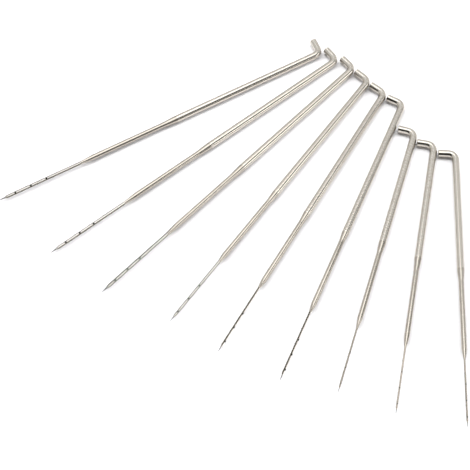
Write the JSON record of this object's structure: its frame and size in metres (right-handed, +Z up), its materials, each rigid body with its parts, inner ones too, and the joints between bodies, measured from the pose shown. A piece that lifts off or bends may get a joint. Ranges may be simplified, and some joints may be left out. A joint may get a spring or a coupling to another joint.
{
  "type": "felting needle set",
  "caption": "Loose felting needles fanned out in coarse, medium and fine grades, each one cranked steel wire with a swaged neck and a triangular barbed blade.",
  "frame": {"origin": "middle of the fan on the table that the needles lie on", "axes": "+Z straight up from the table; +Y from the points to the cranks, nearly along the far right needle; +X to the right, with the coarse needles on the left and the fine ones on the right"},
  "size_m": [0.1114, 0.1124, 0.0018],
  "materials": {
    "nickel_plated_steel": "bright nickel plate over drawn and ground wire"
  },
  "bodies": {
    "needle_1": {"needle_1": "nickel_plated_steel"},
    "needle_2": {"needle_2": "nickel_plated_steel"},
    "needle_3": {"needle_3": "nickel_plated_steel"},
    "needle_4": {"needle_4": "nickel_plated_steel"},
    "needle_5": {"needle_5": "nickel_plated_steel"},
    "needle_6": {"needle_6": "nickel_plated_steel"},
    "needle_7": {"needle_7": "nickel_plated_steel"},
    "needle_8": {"needle_8": "nickel_plated_steel"},
    "needle_9": {"needle_9": "nickel_plated_steel"}
  },
  "joints": [
    {"name": "needle_1_lift", "type": "slide", "parent": "needle_5", "child": "needle_1", "axis": [0, 0, 1], "range_m": [0, 0.04]},
    {"name": "needle_2_lift", "type": "slide", "parent": "needle_5", "child": "needle_2", "axis": [0, 0, 1], "range_m": [0, 0.04]},
    {"name": "needle_3_lift", "type": "slide", "parent": "needle_5", "child": "needle_3", "axis": [0, 0, 1], "range_m": [0, 0.04]},
    {"name": "needle_4_lift", "type": "slide", "parent": "needle_5", "child": "needle_4", "axis": [0, 0, 1], "range_m": [0, 0.04]},
    {"name": "needle_6_lift", "type": "slide", "parent": "needle_5", "child": "needle_6", "axis": [0, 0, 1], "range_m": [0, 0.04]},
    {"name": "needle_7_lift", "type": "slide", "parent": "needle_5", "child": "needle_7", "axis": [0, 0, 1], "range_m": [0, 0.04]},
    {"name": "needle_8_lift", "type": "slide", "parent": "needle_5", "child": "needle_8", "axis": [0, 0, 1], "range_m": [0, 0.04]},
    {"name": "needle_9_lift", "type": "slide", "parent": "needle_5", "child": "needle_9", "axis": [0, 0, 1], "range_m": [0, 0.04]}
  ]
}
